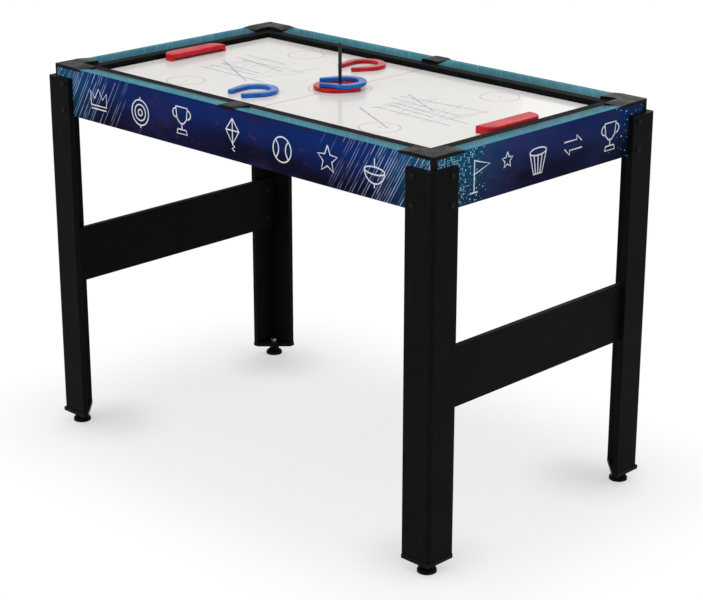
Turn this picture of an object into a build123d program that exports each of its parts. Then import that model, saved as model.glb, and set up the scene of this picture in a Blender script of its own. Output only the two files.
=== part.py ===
from build123d import *
import math
import os

os.makedirs("parts", exist_ok=True)

# Millimetres. X runs along the table, Y across it and Z up. The origin is on the floor,
# under the middle of the table. The left end is -X and the front is -Y.

# Table top box
table_length = 1046
table_width = 600
rim_height = 786
apron_thickness = 12
apron_height = 100
apron_corner_radius = 1.5
well_depth = 20
bed_thickness = 6
cleat_size = 18
cleat_gap = 5

# Rails, bumpers and caps round the playing field
rail_width = 28
rail_fall = 4
rail_joint = 0.2
bumper_width = 23
bumper_nose_radius = 2.5
cap_arm = 80
middle_cap_length = 44
cap_rise = 2.5
cap_wall = 2.5
cap_skin = 1.2
cap_lip_depth = 4
cap_strip_width = 5.5
cap_strip_gap = 0.3
cap_edge_radius = 0.8
cap_corner_radius = 4
cap_bevel_length = 22
cap_bevel_drop = 2
middle_bevel_length = 8
middle_bevel_drop = 1.5
cap_boss_radius = 4

# Playing board
board_thickness = 5
board_clearance = 1.5
board_corner_radius = 3
loose_gap = 0.3

# Legs, brackets and stretchers
leg_flange = 66
leg_thickness = 12
leg_top_drop = 22
leg_corner_radius = 8
leg_edge_radius = 1
bracket_flange = 55
bracket_thickness = 2
bracket_height = 68
stretcher_thickness = 12
stretcher_height = 117
stretcher_drop = 357
stretcher_end_gap = 0.5
stretcher_edge_radius = 1

# Levelling feet and their plates
plate_thickness = 8
plate_overhang = 1
foot_inset = 26
foot_travel = 6
foot_stop_gap = 2
pad_radius = 18.5
pad_height = 9
pad_edge_radius = 6
collar_across = 20
collar_height = 5
stem_radius = 4
stem_tip = 0.8
foot_nut_across = 13
foot_nut_height = 6.5
stem_hole_clearance = 0.5
thread_clearance = 0.05

# Leg bolts and nuts
bolt_radius = 3
bolt_inset = 49
bolt_drops = (35, 88)
bolt_head_radius = 5
bolt_head_height = 3
bolt_head_round = 1.4
bolt_socket_across = 4
bolt_socket_depth = 1.5
bolt_end = 2
bolt_clearance = 0.2
leg_nut_across = 10
leg_nut_height = 5

# Wood screws
screw_radius = 2
screw_clearance = 0.1
screw_head_radius = 4
screw_head_height = 2.5
screw_head_round = 1.2
screw_tip = 2
screw_slot_length = 4
screw_slot_width = 1
screw_slot_depth = 1
bed_screw_bite = 10
bed_screw_inset = 4.5
cleat_screw_bite = 8
apron_screw_bite = 18
apron_screw_drops = (19, 62)
stretcher_screw_bite = 8
stretcher_screw_inset = 27
stretcher_screw_margin = 25
plate_screw_bite = 16
plate_screw_inset = 45
plate_screw_radius = 1.75
plate_screw_head_radius = 3.4
plate_screw_head_height = 1.8
long_rail_screw_shares = (-0.4, 0, 0.4)
short_rail_screw_shares = (-0.38, 0, 0.38)
long_bumper_screw_shares = (-0.42, -0.21, 0, 0.21, 0.42)
short_bumper_screw_shares = (-0.38, 0, 0.38)
long_cleat_screw_shares = (-0.42, -0.14, 0.14, 0.42)
short_cleat_screw_shares = (-0.38, 0.38)

# Goals
goal_width = 150
goal_depth = 36
goal_height = 14
goal_wall = 2.5
goal_corner_radius = 24
goal_edge_radius = 3
goal_mouth_width = 135
goal_mouth_height = 5
goal_back_gap = 3

# Stake and horseshoes
stake_height = 92
stake_radius = 3.5
stake_tip_radius = 3
stake_base_radius = 16
stake_base_height = 4
stake_base_floor = 1
stake_base_round = 1
stake_fit = 0.05
shoe_radius = 44
shoe_length = 94
shoe_arm_width = 16
shoe_heel_width = 54
shoe_tip_width = 12
shoe_tip_radius = 5
shoe_thickness = 8
shoe_edge_radius = 2.2
stack_shift = 9
stack_turn = 135
loose_blue_x = -93
loose_blue_margin = 98
loose_blue_turn = -8
loose_red_x = -102
loose_red_margin = 63
loose_red_turn = -9

# Levels and plan lines that follow from the sizes above
half_length = table_length / 2
half_width = table_width / 2
apron_bottom = rim_height - apron_height
bed_top = rim_height - well_depth
bed_bottom = bed_top - bed_thickness
rail_inner = apron_thickness + rail_width
bumper_inner = rail_inner + bumper_width
bumper_top = rim_height - rail_fall
board_bottom = bed_top + loose_gap
board_top = board_bottom + board_thickness
loose_level = board_top + loose_gap
leg_top = rim_height - leg_top_drop
plate_bottom = pad_height + collar_height + foot_travel + foot_stop_gap
leg_bottom = plate_bottom + plate_thickness
stretcher_top = rim_height - stretcher_drop
long_rail_length = half_length - cap_arm - middle_cap_length / 2 - 2 * rail_joint
long_rail_middle = middle_cap_length / 2 + rail_joint + long_rail_length / 2
short_rail_length = table_width - 2 * (cap_arm + rail_joint)
long_cleat_length = table_length - 2 * (apron_thickness + bracket_flange + cleat_gap)
short_cleat_length = table_width - 2 * (apron_thickness + bracket_flange + cleat_gap)
screw_line = rail_inner - bed_screw_inset
bumper_line = rail_inner + bumper_width / 2
bed_screw_length = bed_thickness + bed_screw_bite
bolt_length = leg_thickness + apron_thickness + bracket_thickness + leg_nut_height + bolt_end
screw_hole_radius = screw_radius + screw_clearance
bolt_hole_radius = bolt_radius + bolt_clearance
cut_reach = table_length + table_width

corners = {
    "front_left": (-1, -1),
    "front_right": (1, -1),
    "back_left": (-1, 1),
    "back_right": (1, 1),
}
long_sides = {"front": -1, "back": 1}
short_sides = {"left": -1, "right": 1}
from_below = (Align.CENTER, Align.CENTER, Align.MIN)


def corner_spot(sx, sy, u, v):
    """Plan point u along X and v along Y, inwards from the outer corner of the aprons."""
    return (sx * (half_length - u), sy * (half_width - v))


def corner_l(sx, sy, outer, inner, end):
    """Plan outline of an L at a corner, from its outer line, inner line and arm ends."""
    spots = (outer, outer), (end, outer), (end, inner), (inner, inner), (inner, end), (outer, end)
    return [corner_spot(sx, sy, u, v) for u, v in spots]


def facing_x(x, y, z, way):
    """Place whose own Z points along X, towards +X for way 1 and -X for way -1."""
    return Location((x, y, z), (0, 90 * way, 0))


def facing_y(x, y, z, way):
    """Place whose own Z points along Y, towards +Y for way 1 and -Y for way -1."""
    return Location((x, y, z), (-90 * way, 0, 0))


def drill(places, radius, depth):
    """Blind round holes from each place along its own Z, in the part being made."""
    with Locations(*places):
        Cylinder(radius, depth, align=from_below, mode=Mode.SUBTRACT)


def countersink(places, shank_radius, head_radius, head_height):
    """Conical seats for flat screw heads, flush with the face at each place."""
    with Locations(*places):
        Cone(head_radius, shank_radius, head_height, align=from_below, mode=Mode.SUBTRACT)


# Places of the fasteners, each with its own Z in the driving direction
bolt_x = half_length + leg_thickness - bolt_inset
bolt_y = half_width + leg_thickness - bolt_inset
bolt_levels = [rim_height - drop for drop in bolt_drops]
leg_bolt_places = {}
leg_nut_places = {}
for corner, (sx, sy) in corners.items():
    outer_x = sx * (half_length + leg_thickness)
    outer_y = sy * (half_width + leg_thickness)
    nut_x = sx * (half_length - apron_thickness - bracket_thickness)
    nut_y = sy * (half_width - apron_thickness - bracket_thickness)
    leg_bolt_places[corner] = []
    leg_nut_places[corner] = []
    for z in bolt_levels:
        leg_bolt_places[corner].append(facing_y(sx * bolt_x, outer_y, z, -sy))
        leg_bolt_places[corner].append(facing_x(outer_x, sy * bolt_y, z, -sx))
        leg_nut_places[corner].append(facing_y(sx * bolt_x, nut_y, z, -sy))
        leg_nut_places[corner].append(facing_x(nut_x, sy * bolt_y, z, -sx))

apron_screw_places = {}
for side, sy in long_sides.items():
    apron_screw_places[side] = [
        facing_y(sx * (half_length - apron_thickness / 2), sy * half_width, rim_height - drop, -sy)
        for sx in short_sides.values()
        for drop in apron_screw_drops
    ]

cleat_screw_places = {}
cleat_screw_level = bed_bottom - cleat_size / 2
cleat_inner = apron_thickness + cleat_size
for side, sy in long_sides.items():
    cleat_screw_places[side] = [
        facing_y(share * long_cleat_length, sy * (half_width - cleat_inner), cleat_screw_level, sy)
        for share in long_cleat_screw_shares
    ]
for side, sx in short_sides.items():
    cleat_screw_places[side] = [
        facing_x(sx * (half_length - cleat_inner), share * short_cleat_length, cleat_screw_level, sx)
        for share in short_cleat_screw_shares
    ]

rail_screw_places = {}
bumper_screw_places = {}
cap_screw_places = {}
for side, sy in long_sides.items():
    for end, sx in short_sides.items():
        rail_screw_places[f"{side}_{end}"] = [
            Location(
                (
                    sx * long_rail_middle + share * long_rail_length,
                    sy * (half_width - screw_line),
                    bed_bottom,
                )
            )
            for share in long_rail_screw_shares
        ]
    bumper_screw_places[side] = [
        Location(
            (
                share * (table_length - 2 * bumper_inner),
                sy * (half_width - bumper_line),
                bed_bottom,
            )
        )
        for share in long_bumper_screw_shares
    ]
    cap_screw_places[side] = [Location((0, sy * (half_width - screw_line), bed_bottom))]
for side, sx in short_sides.items():
    rail_screw_places[side] = [
        Location((sx * (half_length - screw_line), share * short_rail_length, bed_bottom))
        for share in short_rail_screw_shares
    ]
    bumper_screw_places[side] = [
        Location(
            (
                sx * (half_length - bumper_line),
                share * (table_width - 2 * bumper_inner),
                bed_bottom,
            )
        )
        for share in short_bumper_screw_shares
    ]
for corner, (sx, sy) in corners.items():
    cap_screw_places[corner] = [Location((*corner_spot(sx, sy, screw_line, screw_line), bed_bottom))]
bed_screw_places = [
    place
    for group in (rail_screw_places, bumper_screw_places, cap_screw_places)
    for places in group.values()
    for place in places
]

stretcher_screw_places = {}
for side, sx in short_sides.items():
    stretcher_screw_places[side] = [
        facing_x(sx * (half_length - stretcher_thickness), sy * (half_width - stretcher_screw_inset), z, sx)
        for sy in long_sides.values()
        for z in (
            stretcher_top - stretcher_screw_margin,
            stretcher_top - stretcher_height + stretcher_screw_margin,
        )
    ]

plate_screw_places = {}
for corner, (sx, sy) in corners.items():
    in_flange = -leg_thickness / 2
    along_flange = plate_screw_inset - leg_thickness
    plate_screw_places[corner] = [
        Location((*corner_spot(sx, sy, in_flange, along_flange), plate_bottom)),
        Location((*corner_spot(sx, sy, along_flange, in_flange), plate_bottom)),
    ]

# Aprons: four boards round the box, the long ones over the ends of the short ones
for side, sy in long_sides.items():
    with BuildPart() as apron:
        with BuildSketch(Plane.XY.offset(apron_bottom)) as outline:
            with Locations((0, sy * (half_width - apron_thickness / 2))):
                Rectangle(table_length, apron_thickness)
            outer_corners = outline.vertices().sort_by(lambda corner: -sy * corner.Y)[:2]
            fillet(outer_corners, apron_corner_radius)
        extrude(amount=apron_height)
        for end in short_sides:
            drill(leg_bolt_places[f"{side}_{end}"], bolt_hole_radius, bolt_length)
        drill(apron_screw_places[side], screw_hole_radius, apron_thickness + apron_screw_bite)
        countersink(apron_screw_places[side], screw_hole_radius, screw_head_radius, screw_head_height)
        drill(cleat_screw_places[side], screw_hole_radius, cleat_size + cleat_screw_bite + screw_clearance)
    apron.part.label = f"{side}_apron"
    export_step(apron.part, f"parts/{side}_apron.step")

for side, sx in short_sides.items():
    with BuildPart() as apron:
        with BuildSketch(Plane.XY.offset(apron_bottom)):
            with Locations((sx * (half_length - apron_thickness / 2), 0)):
                Rectangle(apron_thickness, table_width - 2 * apron_thickness)
        extrude(amount=apron_height)
        for face, sy in long_sides.items():
            drill(leg_bolt_places[f"{face}_{side}"], bolt_hole_radius, bolt_length)
            drill(
                apron_screw_places[face],
                screw_hole_radius,
                apron_thickness + apron_screw_bite + screw_clearance,
            )
        drill(cleat_screw_places[side], screw_hole_radius, cleat_size + cleat_screw_bite + screw_clearance)
    apron.part.label = f"{side}_apron"
    export_step(apron.part, f"parts/{side}_apron.step")

# Bed panel: a thin sheet let in between the aprons, holed for the screws from below
with BuildPart() as bed_panel:
    with BuildSketch(Plane.XY.offset(bed_bottom)):
        Rectangle(table_length - 2 * apron_thickness, table_width - 2 * apron_thickness)
    extrude(amount=bed_thickness)
    drill(bed_screw_places, screw_hole_radius, bed_thickness)
bed_panel.part.label = "bed_panel"
export_step(bed_panel.part, "parts/bed_panel.step")

# Cleats: square battens under the bed panel, screwed to the aprons from inside
for side, sy in long_sides.items():
    with BuildPart() as cleat:
        with BuildSketch(Plane.XY.offset(bed_bottom - cleat_size)):
            with Locations((0, sy * (half_width - apron_thickness - cleat_size / 2))):
                Rectangle(long_cleat_length, cleat_size)
        extrude(amount=cleat_size)
        drill(cleat_screw_places[side], screw_hole_radius, cleat_size)
    cleat.part.label = f"{side}_cleat"
    export_step(cleat.part, f"parts/{side}_cleat.step")

for side, sx in short_sides.items():
    with BuildPart() as cleat:
        with BuildSketch(Plane.XY.offset(bed_bottom - cleat_size)):
            with Locations((sx * (half_length - apron_thickness - cleat_size / 2), 0)):
                Rectangle(cleat_size, short_cleat_length)
        extrude(amount=cleat_size)
        drill(cleat_screw_places[side], screw_hole_radius, cleat_size)
    cleat.part.label = f"{side}_cleat"
    export_step(cleat.part, f"parts/{side}_cleat.step")

# Rails: boards on the bed inside the aprons, their tops falling towards the field
rail_section = [
    (apron_thickness, bed_top),
    (apron_thickness, rim_height),
    (rail_inner, bumper_top),
    (rail_inner, bed_top),
]
for side, sy in long_sides.items():
    for end, sx in short_sides.items():
        with BuildPart() as rail:
            with BuildSketch(Plane.YZ.offset(sx * long_rail_middle)):
                with BuildLine():
                    Polyline(*[(sy * (half_width - v), z) for v, z in rail_section], close=True)
                make_face()
            extrude(amount=long_rail_length / 2, both=True)
            drill(rail_screw_places[f"{side}_{end}"], screw_hole_radius, bed_screw_length + screw_clearance)
        rail.part.label = f"{side}_{end}_rail"
        export_step(rail.part, f"parts/{side}_{end}_rail.step")

for side, sx in short_sides.items():
    with BuildPart() as rail:
        with BuildSketch(Plane.XZ):
            with BuildLine():
                Polyline(*[(sx * (half_length - v), z) for v, z in rail_section], close=True)
            make_face()
        extrude(amount=short_rail_length / 2, both=True)
        drill(rail_screw_places[side], screw_hole_radius, bed_screw_length + screw_clearance)
    rail.part.label = f"{side}_rail"
    export_step(rail.part, f"parts/{side}_rail.step")

# Bumpers: strips between the rails and the field, mitred at the corners
for side, sy in long_sides.items():
    with BuildPart() as bumper:
        with BuildSketch(Plane.XY.offset(bed_top)):
            with BuildLine():
                Polyline(
                    corner_spot(-1, sy, rail_inner, rail_inner),
                    corner_spot(1, sy, rail_inner, rail_inner),
                    corner_spot(1, sy, bumper_inner, bumper_inner),
                    corner_spot(-1, sy, bumper_inner, bumper_inner),
                    close=True,
                )
            make_face()
        extrude(amount=bumper_top - bed_top)
        top_edges = bumper.edges().group_by(Axis.Z)[-1]
        fillet(top_edges.sort_by_distance((0, 0, bumper_top))[0], bumper_nose_radius)
        drill(bumper_screw_places[side], screw_hole_radius, bed_screw_length + screw_clearance)
    bumper.part.label = f"{side}_bumper"
    export_step(bumper.part, f"parts/{side}_bumper.step")

for side, sx in short_sides.items():
    with BuildPart() as bumper:
        with BuildSketch(Plane.XY.offset(bed_top)):
            with BuildLine():
                Polyline(
                    corner_spot(sx, -1, rail_inner, rail_inner),
                    corner_spot(sx, 1, rail_inner, rail_inner),
                    corner_spot(sx, 1, bumper_inner, bumper_inner),
                    corner_spot(sx, -1, bumper_inner, bumper_inner),
                    close=True,
                )
            make_face()
        extrude(amount=bumper_top - bed_top)
        top_edges = bumper.edges().group_by(Axis.Z)[-1]
        fillet(top_edges.sort_by_distance((0, 0, bumper_top))[0], bumper_nose_radius)
        drill(bumper_screw_places[side], screw_hole_radius, bed_screw_length + screw_clearance)
    bumper.part.label = f"{side}_bumper"
    export_step(bumper.part, f"parts/{side}_bumper.step")

# Corner caps: hollow L covers over the rail ends, with a strip down the apron corner
cap_top = rim_height + cap_rise
bevel_start = cap_arm - cap_bevel_length
for corner, (sx, sy) in corners.items():
    outer_corner = corner_spot(sx, sy, -cap_skin, -cap_skin)
    with BuildPart() as cap:
        with BuildSketch(Plane.XY.offset(rim_height)) as outline:
            with BuildLine():
                Polyline(*corner_l(sx, sy, -cap_skin, rail_inner, cap_arm), close=True)
            make_face()
            fillet(outline.vertices().sort_by_distance(outer_corner)[0], cap_corner_radius)
        extrude(amount=cap_rise)
        top_edges = cap.faces().sort_by(Axis.Z)[-1].edges()
        fillet(top_edges, cap_edge_radius)
        with BuildSketch(Plane.XZ):
            with BuildLine():
                Polyline(
                    (sx * (half_length - bevel_start), cap_top),
                    (sx * (half_length - cap_arm), cap_top),
                    (sx * (half_length - cap_arm), cap_top - cap_bevel_drop),
                    close=True,
                )
            make_face()
        extrude(amount=cut_reach, both=True, mode=Mode.SUBTRACT)
        with BuildSketch(Plane.YZ):
            with BuildLine():
                Polyline(
                    (sy * (half_width - bevel_start), cap_top),
                    (sy * (half_width - cap_arm), cap_top),
                    (sy * (half_width - cap_arm), cap_top - cap_bevel_drop),
                    close=True,
                )
            make_face()
        extrude(amount=cut_reach, both=True, mode=Mode.SUBTRACT)
        with BuildSketch(Plane.XY.offset(rim_height - cap_lip_depth)) as outline:
            with BuildLine():
                Polyline(*corner_l(sx, sy, -cap_skin, 0, cap_arm), close=True)
            make_face()
            fillet(outline.vertices().sort_by_distance(outer_corner)[0], cap_corner_radius)
        extrude(amount=cap_lip_depth)
        with BuildSketch(Plane.XY.offset(leg_top + cap_strip_gap)) as outline:
            with BuildLine():
                Polyline(*corner_l(sx, sy, -cap_skin, 0, cap_strip_width), close=True)
            make_face()
            fillet(outline.vertices().sort_by_distance(outer_corner)[0], cap_corner_radius)
        extrude(amount=leg_top_drop - cap_strip_gap)
        with BuildSketch(Plane.XY.offset(bed_top)):
            with BuildLine():
                Polyline(*corner_l(sx, sy, apron_thickness, rail_inner, cap_arm), close=True)
            make_face()
            with BuildLine():
                Polyline(
                    *corner_l(
                        sx,
                        sy,
                        apron_thickness + cap_wall,
                        rail_inner - cap_wall,
                        cap_arm - cap_wall,
                    ),
                    close=True,
                )
            make_face(mode=Mode.SUBTRACT)
            with Locations(corner_spot(sx, sy, screw_line, screw_line)):
                Circle(cap_boss_radius)
        extrude(amount=well_depth)
        drill(cap_screw_places[corner], screw_hole_radius, bed_screw_length + screw_clearance)
    cap.part.label = f"{corner}_corner_cap"
    export_step(cap.part, f"parts/{corner}_corner_cap.step")

# Middle caps: short covers over the joint of the two rails on each long side
for side, sy in long_sides.items():
    cap_middle_y = sy * (half_width - (rail_inner - cap_skin) / 2)
    with BuildPart() as cap:
        with BuildSketch(Plane.XY.offset(rim_height)):
            with Locations((0, cap_middle_y)):
                Rectangle(middle_cap_length, rail_inner + cap_skin)
        extrude(amount=cap_rise)
        fillet(cap.faces().sort_by(Axis.Z)[-1].edges(), cap_edge_radius)
        for sx in short_sides.values():
            with BuildSketch(Plane.XZ):
                with BuildLine():
                    Polyline(
                        (sx * (middle_cap_length / 2 - middle_bevel_length), cap_top),
                        (sx * middle_cap_length / 2, cap_top),
                        (sx * middle_cap_length / 2, cap_top - middle_bevel_drop),
                        close=True,
                    )
                make_face()
            extrude(amount=cut_reach, both=True, mode=Mode.SUBTRACT)
        with BuildSketch(Plane.XY.offset(rim_height - cap_lip_depth)):
            with Locations((0, sy * (half_width + cap_skin / 2))):
                Rectangle(middle_cap_length, cap_skin)
        extrude(amount=cap_lip_depth)
        with BuildSketch(Plane.XY.offset(bed_top)):
            with Locations((0, sy * (half_width - apron_thickness - rail_width / 2))):
                Rectangle(middle_cap_length, rail_width)
                Rectangle(middle_cap_length - 2 * cap_wall, rail_width - 2 * cap_wall, mode=Mode.SUBTRACT)
            with Locations((0, sy * (half_width - screw_line))):
                Circle(cap_boss_radius)
        extrude(amount=well_depth)
        drill(cap_screw_places[side], screw_hole_radius, bed_screw_length + screw_clearance)
    cap.part.label = f"{side}_middle_cap"
    export_step(cap.part, f"parts/{side}_middle_cap.step")

# Playing board: a loose white sheet that drops in between the bumpers
with BuildPart() as field_board:
    with BuildSketch(Plane.XY.offset(board_bottom)):
        RectangleRounded(
            table_length - 2 * (bumper_inner + board_clearance),
            table_width - 2 * (bumper_inner + board_clearance),
            board_corner_radius,
        )
    extrude(amount=board_thickness)
field_board.part.label = "field_board"
export_step(field_board.part, "parts/field_board.step")

# Legs: L sections outside the apron corners, with rounded edges
for corner, (sx, sy) in corners.items():
    with BuildPart() as leg:
        with BuildSketch(Plane.XY.offset(leg_bottom)) as outline:
            with BuildLine():
                Polyline(
                    *corner_l(sx, sy, -leg_thickness, 0, leg_flange - leg_thickness),
                    close=True,
                )
            make_face()
            outer_corner = corner_spot(sx, sy, -leg_thickness, -leg_thickness)
            free_corners = outline.vertices().sort_by_distance(outer_corner)[-4:]
            fillet(free_corners, leg_edge_radius)
            fillet(outline.vertices().sort_by_distance(outer_corner)[0], leg_corner_radius)
        extrude(amount=leg_top - leg_bottom)
        drill(leg_bolt_places[corner], bolt_hole_radius, leg_thickness)
        for side in short_sides:
            drill(
                stretcher_screw_places[side],
                screw_hole_radius,
                stretcher_thickness + stretcher_screw_bite + screw_clearance,
            )
        drill(
            plate_screw_places[corner],
            plate_screw_radius + screw_clearance,
            plate_thickness + plate_screw_bite + screw_clearance,
        )
    leg.part.label = f"{corner}_leg"
    export_step(leg.part, f"parts/{corner}_leg.step")

# Corner brackets: steel angles inside the aprons that take the leg bolts
for corner, (sx, sy) in corners.items():
    with BuildPart() as bracket:
        with BuildSketch(Plane.XY.offset(bed_bottom - bracket_height)):
            with BuildLine():
                Polyline(
                    *corner_l(
                        sx,
                        sy,
                        apron_thickness,
                        apron_thickness + bracket_thickness,
                        apron_thickness + bracket_flange,
                    ),
                    close=True,
                )
            make_face()
        extrude(amount=bracket_height)
        drill(leg_bolt_places[corner], bolt_hole_radius, bolt_length)
    bracket.part.label = f"{corner}_bracket"
    export_step(bracket.part, f"parts/{corner}_bracket.step")

# Leg plates: thick moulded plates under the legs that carry the levelling feet
plate_outline = [
    (-plate_overhang, -plate_overhang),
    (leg_flange, -plate_overhang),
    (leg_flange, leg_thickness),
    (leg_thickness, leg_flange),
    (-plate_overhang, leg_flange),
]
foot_spot = foot_inset - leg_thickness
for corner, (sx, sy) in corners.items():
    with BuildPart() as plate:
        with BuildSketch(Plane.XY.offset(plate_bottom)):
            with BuildLine():
                Polyline(
                    *[
                        corner_spot(sx, sy, u - leg_thickness, v - leg_thickness)
                        for u, v in plate_outline
                    ],
                    close=True,
                )
            make_face()
            with Locations(corner_spot(sx, sy, foot_spot, foot_spot)):
                Circle(stem_radius + stem_hole_clearance, mode=Mode.SUBTRACT)
        extrude(amount=plate_thickness)
        drill(plate_screw_places[corner], plate_screw_radius + screw_clearance, plate_thickness)
        countersink(
            plate_screw_places[corner],
            plate_screw_radius + screw_clearance,
            plate_screw_head_radius + screw_clearance,
            plate_screw_head_height + screw_clearance,
        )
    plate.part.label = f"{corner}_leg_plate"
    export_step(plate.part, f"parts/{corner}_leg_plate.step")

# Levelling feet: a round pad, a hexagon to turn it by and a threaded stem
stem_length = foot_travel + foot_stop_gap + plate_thickness + foot_nut_height + foot_travel
for corner, (sx, sy) in corners.items():
    with BuildPart() as foot:
        with BuildSketch():
            with Locations(corner_spot(sx, sy, foot_spot, foot_spot)):
                Circle(pad_radius)
        extrude(amount=pad_height)
        fillet(foot.edges().group_by(Axis.Z)[-1], pad_edge_radius)
        with BuildSketch(Plane.XY.offset(pad_height)):
            with Locations(corner_spot(sx, sy, foot_spot, foot_spot)):
                RegularPolygon(radius=collar_across / 2, side_count=6, major_radius=False)
        extrude(amount=collar_height)
        with BuildSketch(Plane.XY.offset(pad_height + collar_height)):
            with Locations(corner_spot(sx, sy, foot_spot, foot_spot)):
                Circle(stem_radius)
        extrude(amount=stem_length)
        chamfer(foot.edges().group_by(Axis.Z)[-1], stem_tip)
    foot.part.label = f"{corner}_foot"
    export_step(foot.part, f"parts/{corner}_foot.step")

# Foot nuts: held on top of the plates, one round each stem
with BuildPart() as foot_nuts:
    with BuildSketch(Plane.XY.offset(leg_bottom)):
        with Locations(*[corner_spot(sx, sy, foot_spot, foot_spot) for sx, sy in corners.values()]):
            RegularPolygon(radius=foot_nut_across / 2, side_count=6, major_radius=False)
            Circle(stem_radius + thread_clearance, mode=Mode.SUBTRACT)
    extrude(amount=foot_nut_height)
foot_nuts.part.label = "foot_nuts"
export_step(foot_nuts.part, "parts/foot_nuts.step")

# Stretchers: wide boards between the legs of each end, screwed on from inside
for side, sx in short_sides.items():
    with BuildPart() as stretcher:
        with BuildSketch(Plane.XY.offset(stretcher_top - stretcher_height)):
            with Locations((sx * (half_length - stretcher_thickness / 2), 0)):
                Rectangle(stretcher_thickness, table_width - 2 * stretcher_end_gap)
        extrude(amount=stretcher_height)
        fillet(stretcher.edges().filter_by(Axis.Y), stretcher_edge_radius)
        drill(stretcher_screw_places[side], screw_hole_radius, stretcher_thickness)
    stretcher.part.label = f"{side}_stretcher"
    export_step(stretcher.part, f"parts/{side}_stretcher.step")

# Leg bolts: low round heads outside the legs, shanks through to the nuts inside
with BuildPart() as bolt:
    with Locations((0, 0, -bolt_head_height)):
        Cylinder(bolt_head_radius, bolt_head_height, align=from_below)
    fillet(bolt.edges().group_by(Axis.Z)[0], bolt_head_round)
    with BuildSketch(Plane.XY.offset(-bolt_head_height)):
        RegularPolygon(radius=bolt_socket_across / 2, side_count=6, major_radius=False)
    extrude(amount=bolt_socket_depth, mode=Mode.SUBTRACT)
    Cylinder(bolt_radius, bolt_length, align=from_below)

with BuildPart() as leg_bolts:
    for places in leg_bolt_places.values():
        with Locations(*places):
            add(bolt.part)
leg_bolts.part.label = "leg_bolts"
export_step(leg_bolts.part, "parts/leg_bolts.step")

with BuildPart() as nut:
    with BuildSketch():
        RegularPolygon(radius=leg_nut_across / 2, side_count=6, major_radius=False)
        Circle(bolt_radius + thread_clearance, mode=Mode.SUBTRACT)
    extrude(amount=leg_nut_height)

with BuildPart() as leg_nuts:
    for places in leg_nut_places.values():
        with Locations(*places):
            add(nut.part)
leg_nuts.part.label = "leg_nuts"
export_step(leg_nuts.part, "parts/leg_nuts.step")


def round_head_screw(length):
    """Wood screw with a low round cross head under its origin and its shank along +Z."""
    with BuildPart() as screw:
        with Locations((0, 0, -screw_head_height)):
            Cylinder(screw_head_radius, screw_head_height, align=from_below)
        fillet(screw.edges().group_by(Axis.Z)[0], screw_head_round)
        with BuildSketch(Plane.XY.offset(-screw_head_height)):
            Rectangle(screw_slot_length, screw_slot_width)
            Rectangle(screw_slot_width, screw_slot_length)
        extrude(amount=screw_slot_depth, mode=Mode.SUBTRACT)
        Cylinder(screw_radius, length - screw_tip, align=from_below)
        with Locations((0, 0, length - screw_tip)):
            Cone(screw_radius, screw_radius / 2, screw_tip, align=from_below)
    return screw.part


def flat_head_screw(shank_radius, length, head_radius, head_height):
    """Wood screw with its flat head at the origin and its shank along +Z."""
    with BuildPart() as screw:
        Cone(head_radius, shank_radius, head_height, align=from_below)
        Cylinder(shank_radius, length - screw_tip, align=from_below)
        with Locations((0, 0, length - screw_tip)):
            Cone(shank_radius, shank_radius / 2, screw_tip, align=from_below)
    return screw.part


# Stretcher screws
stretcher_screw = round_head_screw(stretcher_thickness + stretcher_screw_bite)
with BuildPart() as stretcher_screws:
    for places in stretcher_screw_places.values():
        with Locations(*places):
            add(stretcher_screw)
stretcher_screws.part.label = "stretcher_screws"
export_step(stretcher_screws.part, "parts/stretcher_screws.step")

# Bed screws: up through the bed panel into the rails, the bumpers and the caps
bed_screw = round_head_screw(bed_screw_length)
with BuildPart() as bed_screws:
    with Locations(*bed_screw_places):
        add(bed_screw)
bed_screws.part.label = "bed_screws"
export_step(bed_screws.part, "parts/bed_screws.step")

# Cleat screws
cleat_screw = round_head_screw(cleat_size + cleat_screw_bite)
with BuildPart() as cleat_screws:
    for places in cleat_screw_places.values():
        with Locations(*places):
            add(cleat_screw)
cleat_screws.part.label = "cleat_screws"
export_step(cleat_screws.part, "parts/cleat_screws.step")

# Apron screws: flat heads in the long aprons, hidden under the legs
apron_screw = flat_head_screw(
    screw_radius,
    apron_thickness + apron_screw_bite,
    screw_head_radius - screw_clearance,
    screw_head_height,
)
with BuildPart() as apron_screws:
    for places in apron_screw_places.values():
        with Locations(*places):
            add(apron_screw)
apron_screws.part.label = "apron_screws"
export_step(apron_screws.part, "parts/apron_screws.step")

# Plate screws: flat heads in the leg plates, driven up into the legs
plate_screw = flat_head_screw(
    plate_screw_radius,
    plate_thickness + plate_screw_bite,
    plate_screw_head_radius,
    plate_screw_head_height,
)
with BuildPart() as plate_screws:
    for places in plate_screw_places.values():
        with Locations(*places):
            add(plate_screw)
plate_screws.part.label = "plate_screws"
export_step(plate_screws.part, "parts/plate_screws.step")

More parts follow.
